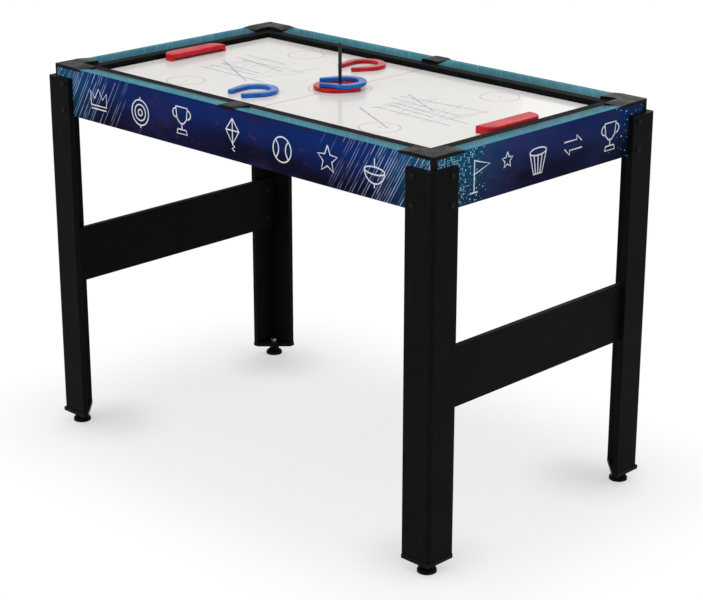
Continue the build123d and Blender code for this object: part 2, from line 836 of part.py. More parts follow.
# Goals: low D hoods at each end, open underneath, with a slot mouth towards the field
goal_back = half_length - bumper_inner - goal_back_gap
for side, sx in short_sides.items():
    goal_middle = sx * (goal_back - goal_depth / 2)
    with BuildPart() as goal:
        with BuildSketch(Plane.XY.offset(loose_level)) as plan:
            with Locations((goal_middle, 0)):
                Rectangle(goal_depth, goal_width)
            back_corners = plan.vertices().sort_by(lambda corner: -sx * corner.X)[:2]
            fillet(back_corners, goal_corner_radius)
        extrude(amount=goal_height)
        fillet(goal.edges().group_by(Axis.Z)[-1], goal_edge_radius)
        with BuildSketch(Plane.XY.offset(loose_level)) as hollow:
            with Locations((goal_middle, 0)):
                Rectangle(goal_depth - 2 * goal_wall, goal_width - 2 * goal_wall)
            back_corners = hollow.vertices().sort_by(lambda corner: -sx * corner.X)[:2]
            fillet(back_corners, goal_corner_radius - goal_wall)
        extrude(amount=goal_height - goal_wall, mode=Mode.SUBTRACT)
        with BuildSketch(Plane.XY.offset(loose_level)):
            with Locations((goal_middle - sx * goal_depth / 2, 0)):
                Rectangle(goal_depth, goal_mouth_width)
        extrude(amount=goal_mouth_height, mode=Mode.SUBTRACT)
    goal.part.label = f"{side}_goal"
    export_step(goal.part, f"parts/{side}_goal.step")

# Stake: a thin rod glued into a round base
rod_bottom = loose_level + stake_base_floor
with BuildPart() as stake_base:
    with BuildSketch(Plane.XY.offset(loose_level)):
        Circle(stake_base_radius)
    extrude(amount=stake_base_height)
    fillet(stake_base.edges().group_by(Axis.Z)[-1], stake_base_round)
    with BuildSketch(Plane.XY.offset(rod_bottom)):
        Circle(stake_radius + stake_fit)
    extrude(amount=stake_base_height, mode=Mode.SUBTRACT)
stake_base.part.label = "stake_base"
export_step(stake_base.part, "parts/stake_base.step")

with BuildPart() as stake_rod:
    with BuildSketch(Plane.XY.offset(rod_bottom)):
        Circle(stake_radius)
    extrude(amount=stake_height - stake_base_floor)
    fillet(stake_rod.edges().group_by(Axis.Z)[-1], stake_tip_radius)
stake_rod.part.label = "stake_rod"
export_step(stake_rod.part, "parts/stake_rod.step")

# Horseshoes: round bows whose arms draw in to blunt heels, with the bow along +Y
def touch_point(radius, x, y):
    """Point where the line from (x, y) touches the circle round the origin, on its right."""
    angle = math.atan2(y, x) + math.acos(radius / math.hypot(x, y))
    return (radius * math.cos(angle), radius * math.sin(angle))


stack_step = shoe_thickness + loose_gap
red_place = Vector(0, stack_shift).rotate(Axis.Z, stack_turn)
blue_place = Vector(0, stack_shift).rotate(Axis.Z, stack_turn - 180)
field_half_width = half_width - bumper_inner
loose_blue_y = loose_blue_margin - field_half_width
loose_red_y = field_half_width - loose_red_margin
horseshoes = {
    "stack_red_horseshoe": (red_place.X, red_place.Y, loose_level, stack_turn),
    "stack_blue_horseshoe": (blue_place.X, blue_place.Y, loose_level + stack_step, stack_turn - 180),
    "loose_blue_horseshoe": (loose_blue_x, loose_blue_y, loose_level, loose_blue_turn),
    "loose_red_horseshoe": (loose_red_x, loose_red_y, loose_level, loose_red_turn),
}
shoe_inner = shoe_radius - shoe_arm_width
heel_y = shoe_radius - shoe_length
heel_outer = shoe_heel_width / 2
heel_inner = heel_outer - shoe_tip_width
outer_x, outer_y = touch_point(shoe_radius, heel_outer, heel_y)
inner_x, inner_y = touch_point(shoe_inner, heel_inner, heel_y)
for name, (x, y, z, turn) in horseshoes.items():
    with BuildPart() as horseshoe:
        with BuildSketch(Plane(Location((x, y, z), (0, 0, turn)))) as outline:
            with BuildLine():
                ThreePointArc((outer_x, outer_y), (0, shoe_radius), (-outer_x, outer_y))
                Polyline(
                    (-outer_x, outer_y),
                    (-heel_outer, heel_y),
                    (-heel_inner, heel_y),
                    (-inner_x, inner_y),
                )
                ThreePointArc((-inner_x, inner_y), (0, shoe_inner), (inner_x, inner_y))
                Polyline(
                    (inner_x, inner_y),
                    (heel_inner, heel_y),
                    (heel_outer, heel_y),
                    (outer_x, outer_y),
                )
            make_face()
            fillet(outline.vertices().sort_by(Axis.Y)[:4], shoe_tip_radius)
        extrude(amount=shoe_thickness)
        fillet(horseshoe.faces().filter_by(Axis.Z).edges(), shoe_edge_radius)
    horseshoe.part.label = name
    export_step(horseshoe.part, f"parts/{name}.step")
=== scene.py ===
import math
import random

import bpy
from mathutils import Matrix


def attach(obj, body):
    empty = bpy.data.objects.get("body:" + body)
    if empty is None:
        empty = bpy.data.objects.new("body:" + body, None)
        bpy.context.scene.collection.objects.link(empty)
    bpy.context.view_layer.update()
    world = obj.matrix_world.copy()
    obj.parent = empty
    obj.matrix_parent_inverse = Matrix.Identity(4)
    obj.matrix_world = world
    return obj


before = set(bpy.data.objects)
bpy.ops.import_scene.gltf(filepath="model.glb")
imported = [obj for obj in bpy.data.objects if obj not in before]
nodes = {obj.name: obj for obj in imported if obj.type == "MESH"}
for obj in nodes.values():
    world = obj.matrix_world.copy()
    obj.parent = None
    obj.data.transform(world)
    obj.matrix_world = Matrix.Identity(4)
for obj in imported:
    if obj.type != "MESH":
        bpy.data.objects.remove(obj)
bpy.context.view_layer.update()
corners = ["front_left", "front_right", "back_left", "back_right"]

# Aprons: four boards of chipboard round the box, 12 mm thick, wrapped in a printed foil.
# The print is a night-blue sky that clears to violet, with slanting rays of light at the ends
# of the long boards and a scatter of small squares, thickest at one end of each board.
bpy.ops.object.select_all(action="DESELECT")
apron_face = {"long": 0.300, "short": 0.523}
apron_half_length = {"long": 0.523, "short": 0.288}
apron_low = 0.686
apron_high = 0.786
foil_skin = 0.0004
apron_night = (0.005, 0.005, 0.032, 1)
apron_murk = (0.0025, 0.0025, 0.010, 1)
apron_blue = (0.005, 0.018, 0.108, 1)
apron_royal = (0.005, 0.028, 0.180, 1)
apron_haze = (0.045, 0.052, 0.19, 1)
apron_violet = (0.018, 0.014, 0.066, 1)
apron_rose = (0.075, 0.018, 0.105, 1)
apron_sea = (0.006, 0.105, 0.20, 1)
apron_ray = (0.46, 0.56, 0.90, 1)
apron_spark = (0.42, 0.80, 0.92, 1)
board_black = (0.010, 0.010, 0.011, 1)
clearing_colour = {"long": apron_royal, "short": apron_haze}
clearing_strength = {"long": 0.7, "short": 0.4}
glow_from = {"long": 0.70, "short": 0.22}
squares_from = {"long": 0.88, "short": 0.48}
print_end = 0.98
ray_pitch = 0.0062
ray_lean = 0.6
ray_breaks = 30.0
square_pitch = 0.0042
square_strength = 0.85
rail_teal = (0.012, 0.145, 0.185, 1)
rail_pale_and_highlight = (0.036, 0.270, 0.325, 1)
rail_blue = (0.012, 0.110, 0.190, 1)
rail_deep = (0.008, 0.078, 0.100, 1)
stripe_pitch = 0.0105
stripe_strength = 0.14


def put(tree, kind, sockets=None, **settings):
    """Adds a shader node, with its sockets set to values or joined to other nodes' sockets."""
    made = tree.nodes.new("ShaderNode" + kind)
    for name, value in settings.items():
        setattr(made, name, value)
    for socket, value in (sockets or {}).items():
        if isinstance(value, bpy.types.NodeSocket):
            tree.links.new(value, made.inputs[socket])
        else:
            made.inputs[socket].default_value = value
    return made


def maths(tree, operation, *values):
    """One step of arithmetic."""
    return put(tree, "Math", dict(enumerate(values)), operation=operation).outputs[0]


def times(tree, product, *values):
    """The product of all the values."""
    for value in values:
        product = maths(tree, "MULTIPLY", product, value)
    return product


def size_of(tree, value):
    """A value without its sign."""
    return maths(tree, "ABSOLUTE", value)


def vector_maths(tree, operation, *values):
    """One step of arithmetic on vectors that gives a vector."""
    return put(tree, "VectorMath", dict(enumerate(values)), operation=operation).outputs[0]


def between(tree, value, low, high, start=0.0, end=1.0):
    """A value from start to end while the given one goes from low to high, eased at both."""
    sockets = {"Value": value, "From Min": low, "From Max": high, "To Min": start, "To Max": end}
    return put(tree, "MapRange", sockets, interpolation_type="SMOOTHSTEP").outputs[0]


def noise(tree, place, scale, detail):
    """Soft noise from 0 to 1."""
    return put(tree, "TexNoise", {"Vector": place, "Scale": scale, "Detail": detail}).outputs[0]


def stretched(tree, place, scale):
    """A place with each axis scaled, so that a pattern on it is drawn out."""
    return put(tree, "Mapping", {"Vector": place, "Scale": scale}).outputs[0]


def blend_colour(tree, factor, first, second):
    """A colour between two others."""
    made = put(tree, "Mix", {"Factor": factor}, data_type="RGBA")
    colour_sockets = [socket for socket in made.inputs if socket.type == "RGBA"]
    for socket, value in zip(colour_sockets, (first, second)):
        if isinstance(value, bpy.types.NodeSocket):
            tree.links.new(value, socket)
        else:
            socket.default_value = value
    return [socket for socket in made.outputs if socket.type == "RGBA"][0]


def off_middle(tree, fraction):
    """How far a place in a lane or cell is from its middle."""
    return size_of(tree, maths(tree, "SUBTRACT", fraction, 0.5))


def lanes_of(tree, crossing, pitch):
    """Lanes side by side: a lane's number, its own chance, and how far off its middle."""
    lanes = maths(tree, "DIVIDE", crossing, pitch)
    lane = maths(tree, "FLOOR", lanes)
    chance = put(tree, "TexWhiteNoise", {"W": lane}, noise_dimensions="1D").outputs[0]
    return lane, chance, off_middle(tree, maths(tree, "FRACT", lanes))


def start_group(name, inputs, outputs):
    """An empty node group with vector, number and colour sockets by name."""
    kinds = {"vector": "NodeSocketVector", "number": "NodeSocketFloat", "colour": "NodeSocketColor"}
    group = bpy.data.node_groups.new(name, "ShaderNodeTree")
    for way, sockets in (("INPUT", inputs), ("OUTPUT", outputs)):
        for socket, kind in sockets.items():
            group.interface.new_socket(name=socket, in_out=way, socket_type=kinds[kind])
    ends = group.nodes.new("NodeGroupInput"), group.nodes.new("NodeGroupOutput")
    return group, ends[0].outputs, ends[1].inputs


def use_group(tree, group, sockets):
    """Places a node group in a material or in another group."""
    made = tree.nodes.new("ShaderNodeGroup")
    made.node_tree = group
    for socket, value in sockets.items():
        if isinstance(value, bpy.types.NodeSocket):
            tree.links.new(value, made.inputs[socket])
        else:
            made.inputs[socket].default_value = value
    return made.outputs


def start_material(name, **settings):
    """A material with one Principled shader, its plain sockets set by name, and its place."""
    material = bpy.data.materials.new(name)
    material.use_nodes = True
    tree = material.node_tree
    shader = tree.nodes["Principled BSDF"]
    for socket, value in settings.items():
        shader.inputs[socket.replace("_", " ")].default_value = value
    return material, tree, shader.inputs, put(tree, "TexCoord").outputs["Object"]


def dress(material, *names):
    """Gives CAD nodes a material."""
    for name in names:
        for material_slot in nodes[name].material_slots:
            material_slot.material = material


def colour_in(tree, shader, factor, first, second):
    """Joins a colour between two others to the shader."""
    tree.links.new(blend_colour(tree, factor, first, second), shader["Base Color"])


def roughen(tree, shader, value, span, base):
    """Joins a roughness of base to base plus span to the shader."""
    tree.links.new(maths(tree, "MULTIPLY_ADD", value, span, base), shader["Roughness"])


def relief(tree, shader, height, distance):
    """Joins a height to the shader's normal."""
    bump = put(tree, "Bump", {"Height": height, "Distance": distance})
    tree.links.new(bump.outputs[0], shader["Normal"])


# Smudges and fine grain of a handled surface, shared by foils, plastics and lacquers.
handled, given, result = start_group(
    "handled_surface",
    {"Place": "vector", "Smudge Scale": "number", "Grain Scale": "number"},
    {"Smudge": "number", "Grain": "number"},
)
smudge = noise(handled, given["Place"], given["Smudge Scale"], detail=5.0)
grain = noise(handled, given["Place"], given["Grain Scale"], detail=3.0)
handled.links.new(between(handled, smudge, 0.36, 0.64), result["Smudge"])
handled.links.new(grain, result["Grain"])


def handle(tree, place, smudge_scale, grain_scale):
    """The smudges and grain of one material."""
    scales = {"Smudge Scale": smudge_scale, "Grain Scale": grain_scale}
    return use_group(tree, handled, {"Place": place, **scales})


# Teal print of the frame's upper faces: slanting stripes, bluer towards the corners and deeper
# towards the field.
rail_print, given, result = start_group("rail_print", {"Place": "vector"}, {"Colour": "colour"})
spot = put(rail_print, "SeparateXYZ", {0: given["Place"]}).outputs
side_x = size_of(rail_print, spot["X"])
side_y = size_of(rail_print, spot["Y"])
slant = maths(rail_print, "ADD", spot["X"], spot["Y"])
lane, chance, off_lane = lanes_of(rail_print, slant, stripe_pitch)
stripe = times(rail_print, between(rail_print, off_lane, 0.42, 0.16), chance, stripe_strength)
to_end = maths(
    rail_print,
    "MAXIMUM",
    between(rail_print, side_x, 0.20, 0.52),
    between(rail_print, side_y, 0.32, 0.60),
)
to_edge = maths(
    rail_print,
    "MAXIMUM",
    maths(rail_print, "SUBTRACT", side_x, apron_face["short"]),
    maths(rail_print, "SUBTRACT", side_y, apron_face["long"]),
)
paler = noise(rail_print, given["Place"], scale=7.0, detail=2.0)
paler = between(rail_print, paler, 0.42, 0.62, 0.0, 0.75)
base = blend_colour(rail_print, paler, rail_teal, rail_pale_and_highlight)
base = blend_colour(rail_print, times(rail_print, to_end, 0.55), base, rail_blue)
base = blend_colour(rail_print, stripe, base, apron_ray)
deep = between(rail_print, to_edge, -0.010, -0.038, 0.0, 0.60)
rail_print.links.new(blend_colour(rail_print, deep, base, rail_deep), result["Colour"])


def sky_colour(tree, place, height, board):
    """The sky: darker below, with clouds of violet, clearings, rose flecks and murk."""
    clouds = stretched(tree, place, (1.0, 1.0, 2.2))
    sky = blend_colour(tree, between(tree, height, 0.05, 0.95), apron_night, apron_blue)
    violet = between(tree, noise(tree, clouds, scale=6.5, detail=4.0), 0.47, 0.66, 0.0, 0.7)
    sky = blend_colour(tree, violet, sky, apron_violet)
    clearing = between(tree, noise(tree, clouds, scale=3.4, detail=3.0), 0.42, 0.60)
    above = between(tree, height, 0.2, 0.9)
    clearing = times(tree, clearing, above, clearing_strength[board])
    sky = blend_colour(tree, clearing, sky, clearing_colour[board])
    fleck = between(tree, noise(tree, clouds, scale=28.0, detail=2.0), 0.64, 0.76, 0.0, 0.55)
    sky = blend_colour(tree, fleck, sky, apron_rose)
    murk = between(tree, noise(tree, clouds, scale=11.0, detail=3.0), 0.46, 0.62)
    murk = times(tree, murk, between(tree, height, 0.75, 0.15), 0.8)
    return blend_colour(tree, murk, sky, apron_murk)


def ray_mask(tree, run, level, share):
    """Slanting rays: one to a lane, broken along their length, denser towards the ends."""
    slant = maths(tree, "SUBTRACT", run, times(tree, level, ray_lean))
    lane, chance, off_lane = lanes_of(tree, slant, ray_pitch)
    shown = maths(tree, "LESS_THAN", chance, between(tree, share, 0.35, 0.90, 0.0, 0.80))
    breaks = put(tree, "CombineXYZ", {0: lane, 1: times(tree, level, ray_breaks)}).outputs[0]
    whole = between(tree, noise(tree, breaks, scale=1.0, detail=1.0), 0.34, 0.58, 0.12, 1.0)
    strength = maths(tree, "MULTIPLY_ADD", chance, 0.8, 0.35)
    nearer = between(tree, share, 0.35, 0.78, 0.12, 1.0)
    return times(tree, between(tree, off_lane, 0.22, 0.10), shown, whole, strength, nearer)


def square_mask(tree, run, level, density):
    """Small squares: one to a cell where its chance is under the density, of any size."""
    cells = put(tree, "CombineXYZ", {0: run, 1: level}).outputs[0]
    per_metre = {0: cells, "Scale": 1 / square_pitch}
    cells = put(tree, "VectorMath", per_metre, operation="SCALE").outputs[0]
    cell = vector_maths(tree, "FLOOR", cells)
    inside = put(tree, "SeparateXYZ", {0: vector_maths(tree, "FRACTION", cells)}).outputs
    chance = put(tree, "TexWhiteNoise", {"Vector": cell}).outputs
    reach = maths(tree, "MAXIMUM", off_middle(tree, inside["X"]), off_middle(tree, inside["Y"]))
    shown = maths(tree, "LESS_THAN", chance[0], density)
    size = put(tree, "SeparateColor", {0: chance[1]}).outputs[1]
    square = maths(tree, "LESS_THAN", reach, maths(tree, "MULTIPLY_ADD", size, 0.26, 0.10))
    return times(tree, square, shown, square_strength)


def apron_material(name, board):
    """Printed foil of a pair of aprons: sky print outside, teal with a painted highlight on top,
    black inside.
    """
    material, tree, shader, place = start_material(name, Specular_IOR_Level=0.02)
    spot = put(tree, "SeparateXYZ", {0: place}).outputs
    run, across = (spot["X"], spot["Y"]) if board == "long" else (spot["Y"], spot["X"])
    share = maths(tree, "DIVIDE", size_of(tree, run), apron_half_length[board])
    height = maths(tree, "SUBTRACT", spot["Z"], apron_low)
    height = maths(tree, "DIVIDE", height, apron_high - apron_low)
    lead = times(tree, run, maths(tree, "SIGN", across))
    fuller = between(tree, lead, 0.1, -0.1, 0.12, 1.0)

    glow = between(tree, share, glow_from[board], print_end)
    glow = times(tree, glow, between(tree, height, -0.5, 0.8))
    density = between(tree, share, squares_from[board], print_end, 0.0, 0.70)
    density = times(tree, density, fuller)
    if board == "short":
        glow = times(tree, glow, fuller)
    sky = sky_colour(tree, place, height, board)
    sky = blend_colour(tree, times(tree, glow, 0.8), sky, apron_sea)
    if board == "long":
        sky = blend_colour(tree, ray_mask(tree, run, spot["Z"], share), sky, apron_ray)
    sky = blend_colour(tree, square_mask(tree, run, spot["Z"], density), sky, apron_spark)

    outside = maths(tree, "GREATER_THAN", size_of(tree, across), apron_face[board] - foil_skin)
    on_top = maths(tree, "GREATER_THAN", spot["Z"], apron_high - foil_skin)
    sides = blend_colour(tree, outside, board_black, sky)
    top_print_and_highlight = use_group(tree, rail_print, {"Place": place})["Colour"]
    # Painted highlight: the teal on top is paled half-way, for the light line along the apron tops.
    top_print_and_highlight = blend_colour(tree, 0.5, top_print_and_highlight, rail_pale_and_highlight)
    colour_in(tree, shader, on_top, sides, top_print_and_highlight)
    surface = handle(tree, place, smudge_scale=22.0, grain_scale=1500.0)
    roughen(tree, shader, surface["Smudge"], span=0.10, base=0.36)
    relief(tree, shader, surface["Grain"], distance=0.00012)
    return material


dress(apron_material("long_apron_foil", "long"), "front_apron", "back_apron")
dress(apron_material("short_apron_foil", "short"), "left_apron", "right_apron")

# Print on the aprons: white line drawings of prizes and play things, screen printed over the
# foil. The ink stands a tenth of a millimetre proud, and each drawing is about 60 mm high.
ink_white = (0.80, 0.82, 0.86, 1)
ink_width = 0.0026
ink_rise = 0.00022
arc_step = 15
merge_distance = 0.000001


def arc(middle_x, middle_y, radius, start=0, end=360, squash=1.0):
    """Points of a round stroke, angles in degrees."""
    steps = max(4, round(abs(end - start) / arc_step))
    turn = [math.radians(start + (end - start) * step / steps) for step in range(steps + 1)]
    rise = radius * squash
    return [(middle_x + radius * math.cos(a), middle_y + rise * math.sin(a)) for a in turn]


def spikes(count, outer, inner):
    """Closed outline of a star."""
    turn = [math.pi / 2 + math.pi * step / count for step in range(2 * count + 1)]
    reach = [outer, inner] * count + [outer]
    return [(r * math.cos(a), r * math.sin(a)) for r, a in zip(reach, turn)]


cup_bowl = [(-0.5, 0.8), (0.5, 0.8), (0.4, 0.1), (0.14, -0.15), (-0.14, -0.15), (-0.4, 0.1)]
crown_rim = [(-0.8, -0.45), (-0.85, 0.5), (-0.4, 0.02), (0, 0.7), (0.4, 0.02), (0.85, 0.5)]
drawings = {
    "cup": [
        cup_bowl + [(-0.5, 0.8)],
        arc(-0.5, 0.42, 0.26, 95, 275),
        arc(0.5, 0.42, 0.26, 85, -95),
        [(0, -0.15), (0, -0.5)],
        [(-0.36, -0.5), (0.36, -0.5), (0.44, -0.75), (-0.44, -0.75), (-0.36, -0.5)],
    ],
    "star": [spikes(5, 0.85, 0.38)],
    "rings": [
        arc(0, 0, 0.82),
        arc(0, 0, 0.52),
        arc(0, 0, 0.2),
        [(0, 0.82), (0, 1.0)],
        [(0, -0.82), (0, -1.0)],
    ],
    "ball": [arc(0, 0, 0.8), arc(-1.05, 0, 0.75, -48, 48), arc(1.05, 0, 0.75, 132, 228)],
    "flag": [
        [(-0.55, -0.9), (-0.55, 0.9)],
        [(-0.55, 0.85), (0.7, 0.48), (-0.55, 0.1)],
        [(-0.85, -0.9), (-0.25, -0.9)],
    ],
    "crown": [
        crown_rim + [(0.8, -0.45), (-0.8, -0.45)],
        [(-0.78, -0.68), (0.78, -0.68)],
    ],
    "kite": [
        [(0, 0.9), (0.55, 0.2), (0, -0.6), (-0.55, 0.2), (0, 0.9)],
        [(0, 0.9), (0, -0.6)],
        [(-0.55, 0.2), (0.55, 0.2)],
        [(0, -0.6), (0.18, -0.74), (-0.05, -0.86), (0.16, -1.0)],
    ],
    "top": [
        arc(0, 0.15, 0.75, 180, 360, 0.95),
        arc(0, 0.15, 0.75, 0, 180, 0.28),
        arc(0, 0.15, 0.75, 180, 360, 0.28),
        [(0, 0.36), (0, 0.85)],
        [(0, -0.56), (0, -0.8)],
    ],
    "arrows": [
        [(-0.9, 0.3), (0.35, 0.3), (0.35, 0.6), (0.85, 0.15)],
        [(0.9, -0.3), (-0.35, -0.3), (-0.35, -0.6), (-0.85, -0.15)],
    ],
    "hoop": [
        arc(0, 0.45, 0.7, 0, 360, 0.3),
        [(-0.7, 0.45), (-0.35, -0.8), (0.35, -0.8), (0.7, 0.45)],
        *[[(x, 0.3), (x * 0.5, -0.8)] for x in (-0.35, 0, 0.35)],
    ],
}


def line_art(name, strokes, width, rise, lay):
    """One mesh of thin flat strokes, their flat points laid on a face by lay(u, v, out)."""
    points, joints = [], []
    for stroke in strokes:
        first = len(points)
        points += [(u, v, 0) for u, v in stroke]
        joints += [(first + step, first + step + 1) for step in range(len(stroke) - 1)]
    mesh = bpy.data.meshes.new(name)
    mesh.from_pydata(points, joints, [])
    drawing = bpy.data.objects.new(name, mesh)
    bpy.context.collection.objects.link(drawing)
    bpy.ops.object.select_all(action="DESELECT")
    drawing.select_set(True)
    bpy.context.view_layer.objects.active = drawing
    bpy.ops.object.convert(target="CURVE")
    drawing.data.dimensions = "3D"
    drawing.data.bevel_depth = width / 2
    drawing.data.bevel_resolution = 0
    drawing.data.use_fill_caps = True
    bpy.ops.object.convert(target="MESH")
    for vertex in drawing.data.vertices:
        u, v, out = vertex.co
        vertex.co = lay(u, v, out * rise / width)
    drawing.data.update()
    bpy.ops.object.mode_set(mode="EDIT")
    bpy.ops.mesh.select_all(action="SELECT")
    bpy.ops.mesh.remove_doubles(threshold=merge_distance)
    bpy.ops.mesh.normals_make_consistent(inside=False)
    bpy.ops.object.mode_set(mode="OBJECT")
    drawing.select_set(False)
    return drawing


white_ink, tree, shader, place = start_material("white_ink", Specular_IOR_Level=0.4)
surface = handle(tree, place, smudge_scale=60.0, grain_scale=900.0)
worn = between(tree, surface["Grain"], 0.30, 0.42, 0.35, 1.0)
colour_in(tree, shader, worn, apron_ray, ink_white)
roughen(tree, shader, surface["Smudge"], span=0.15, base=0.45)
relief(tree, shader, surface["Grain"], distance=0.00005)

# Each row gives a drawing, its place along the board, its level and its half height.
long_row = [
    ("crown", -0.385, 0.735, 0.030),
    ("rings", -0.255, 0.731, 0.031),
    ("cup", -0.130, 0.736, 0.034),
    ("kite", 0.015, 0.737, 0.033),
    ("ball", 0.150, 0.732, 0.030),
    ("star", 0.268, 0.736, 0.031),
    ("top", 0.385, 0.733, 0.033),
]
short_row = [
    ("flag", -0.175, 0.734, 0.033),
    ("star", -0.105, 0.746, 0.018),
    ("hoop", -0.020, 0.731, 0.033),
    ("arrows", 0.080, 0.739, 0.029),
    ("cup", 0.190, 0.734, 0.034),
]
apron_sides = {
    "front": (long_row, lambda u, v, out: (u, -apron_face["long"] - out, v)),
    "back": (long_row, lambda u, v, out: (-u, apron_face["long"] + out, v)),
    "right": (short_row, lambda u, v, out: (apron_face["short"] + out, u, v)),
    "left": (short_row, lambda u, v, out: (-apron_face["short"] - out, -u, v)),
}
for side, (row, lay) in apron_sides.items():
    strokes = []
    for drawing, along, level, size in row:
        for stroke in drawings[drawing]:
            strokes.append([(along + size * u, level + size * v) for u, v in stroke])
    print_piece = line_art(f"{side}_apron_drawings", strokes, ink_width, ink_rise, lay)
    print_piece.data.materials.append(white_ink)
    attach(print_piece, "frame")

# Bed panel and cleats: a thin fibreboard sheet on sawn softwood battens, screwed to the aprons
# from inside. Both are left bare, because only someone under the table sees them.
fibre_dark = (0.17, 0.105, 0.055, 1)
fibre_light = (0.30, 0.20, 0.115, 1)
pine_late = (0.42, 0.245, 0.105, 1)
pine_early = (0.66, 0.47, 0.27, 1)
pine_rings = 60.0
fibreboard, tree, shader, place = start_material("bare_fibreboard", Specular_IOR_Level=0.25)
surface = handle(tree, place, smudge_scale=9.0, grain_scale=520.0)
fleck = put(tree, "TexVoronoi", {"Vector": place, "Scale": 750.0}).outputs["Distance"]
mottle = maths(tree, "ADD", surface["Smudge"], between(tree, fleck, 0.1, 0.6))
colour_in(tree, shader, times(tree, mottle, 0.5), fibre_dark, fibre_light)
roughen(tree, shader, surface["Grain"], span=0.2, base=0.65)
relief(tree, shader, maths(tree, "ADD", surface["Grain"], fleck), distance=0.00025)
dress(fibreboard, "bed_panel")


def pine_material(name, stretch):
    """Sawn softwood with its grain along the direction of the smallest stretch."""
    material, tree, shader, place = start_material(name, Specular_IOR_Level=0.3)
    grain_place = stretched(tree, place, stretch)
    bend = noise(tree, grain_place, scale=1.6, detail=3.0)
    rings = maths(tree, "SINE", times(tree, bend, pine_rings))
    fibre = noise(tree, grain_place, scale=30.0, detail=5.0)
    band = times(tree, between(tree, rings, -0.6, 0.9), between(tree, fibre, 0.2, 0.7))
    colour_in(tree, shader, band, pine_early, pine_late)
    roughen(tree, shader, fibre, span=0.2, base=0.6)
    relief(tree, shader, fibre, distance=0.0004)
    return material


dress(pine_material("long_pine", (1.5, 30.0, 30.0)), "front_cleat", "back_cleat")
dress(pine_material("short_pine", (30.0, 1.5, 30.0)), "left_cleat", "right_cleat")

# Rails: boards that stand on the bed inside the aprons, their tops falling a little towards the
# field, under the same teal print as the top edges of the aprons.
rail_foil, tree, shader, place = start_material("rail_foil", Specular_IOR_Level=0.018)
printed = use_group(tree, rail_print, {"Place": place})
surface = handle(tree, place, smudge_scale=18.0, grain_scale=1500.0)
tree.links.new(printed["Colour"], shader["Base Color"])
roughen(tree, shader, surface["Smudge"], span=0.12, base=0.30)
relief(tree, shader, surface["Grain"], distance=0.0001)
dress(rail_foil, "front_left_rail", "front_right_rail", "back_left_rail", "back_right_rail")
dress(rail_foil, "left_rail", "right_rail")

# Bumpers: matt black strips with a rounded nose, mitred at the corners and screwed down from
# below, which the puck and the balls bounce off.
bumper_black = (0.004, 0.0045, 0.005, 1)
bumper_dust = (0.012, 0.012, 0.013, 1)
bumper_skin, tree, shader, place = start_material("bumper_skin", Specular_IOR_Level=0.015)
surface = handle(tree, place, smudge_scale=30.0, grain_scale=1100.0)
colour_in(tree, shader, times(tree, surface["Smudge"], 0.4), bumper_black, bumper_dust)
roughen(tree, shader, surface["Smudge"], span=0.12, base=0.52)
relief(tree, shader, surface["Grain"], distance=0.0002)
dress(bumper_skin, "front_bumper", "back_bumper", "left_bumper", "right_bumper")

# Caps: black mouldings pressed over the corners and over the joints of the long rails, with a
# fine spark texture from the mould that turns the light.
cap_black = (0.0055, 0.0053, 0.0053, 1)
cap_rubbed = (0.013, 0.0118, 0.011, 1)
cap_plastic, tree, shader, place = start_material("cap_plastic", Specular_IOR_Level=0.03)
surface = handle(tree, place, smudge_scale=45.0, grain_scale=1300.0)
colour_in(tree, shader, times(tree, surface["Smudge"], 0.5), cap_black, cap_rubbed)
roughen(tree, shader, surface["Smudge"], span=0.14, base=0.30)
relief(tree, shader, surface["Grain"], distance=0.00025)
dress(cap_plastic, "front_middle_cap", "back_middle_cap")
dress(cap_plastic, *[f"{corner}_corner_cap" for corner in corners])

# Playing board: a white laminated sheet that drops in between the bumpers, printed with the
# faint red marks of a rink and lacquered so that a puck slides. Its back is bare fibreboard.
board_white = (0.76, 0.745, 0.71, 1)
board_shade = (0.70, 0.70, 0.69, 1)
board_print_above = 0.7708
board_bare_below = 0.7664
rink_red = (0.52, 0.10, 0.10, 1)
rink_strength = 0.65
rink_line = 0.0015
rink_line_core = 0.0009
centre_ring = 0.062
spot_ring = 0.0385
spot_dot = 0.0015
spot_x = 0.270
spot_y = 0.168
middle_line = 0.0006
board_laminate, tree, shader, place = start_material(
    "board_laminate", Specular_IOR_Level=0.1, Coat_Weight=0.28, Coat_Roughness=0.07
)
spot = put(tree, "SeparateXYZ", {0: place}).outputs
side_x = size_of(tree, spot["X"])
side_y = size_of(tree, spot["Y"])


def ring_mark(middle_x, middle_y, radius):
    """How near a place is to a printed ring, the same in all four quarters of the board."""
    off_x = maths(tree, "SUBTRACT", side_x, middle_x)
    off_y = maths(tree, "SUBTRACT", side_y, middle_y)
    reach = maths(tree, "MULTIPLY_ADD", off_x, off_x, times(tree, off_y, off_y))
    return size_of(tree, maths(tree, "SUBTRACT", maths(tree, "SQRT", reach), radius))


nearest = ring_mark(0, 0, centre_ring)
for mark in (
    ring_mark(spot_x, spot_y, spot_ring),
    ring_mark(spot_x, spot_y, spot_dot),
    maths(tree, "SUBTRACT", side_x, middle_line),
):
    nearest = maths(tree, "MINIMUM", nearest, mark)
on_face = maths(tree, "GREATER_THAN", spot["Z"], board_print_above)
printed = between(tree, nearest, rink_line, rink_line_core, 0.0, rink_strength)
printed = times(tree, printed, on_face)
below = maths(tree, "LESS_THAN", spot["Z"], board_bare_below)
surface = handle(tree, place, smudge_scale=5.0, grain_scale=260.0)
sheet = blend_colour(tree, times(tree, surface["Smudge"], 0.35), board_white, board_shade)
sheet = blend_colour(tree, printed, sheet, rink_red)
colour_in(tree, shader, below, sheet, fibre_dark)
roughen(tree, shader, surface["Smudge"], span=0.10, base=0.24)
relief(tree, shader, surface["Grain"], distance=0.00003)
dress(board_laminate, "field_board")

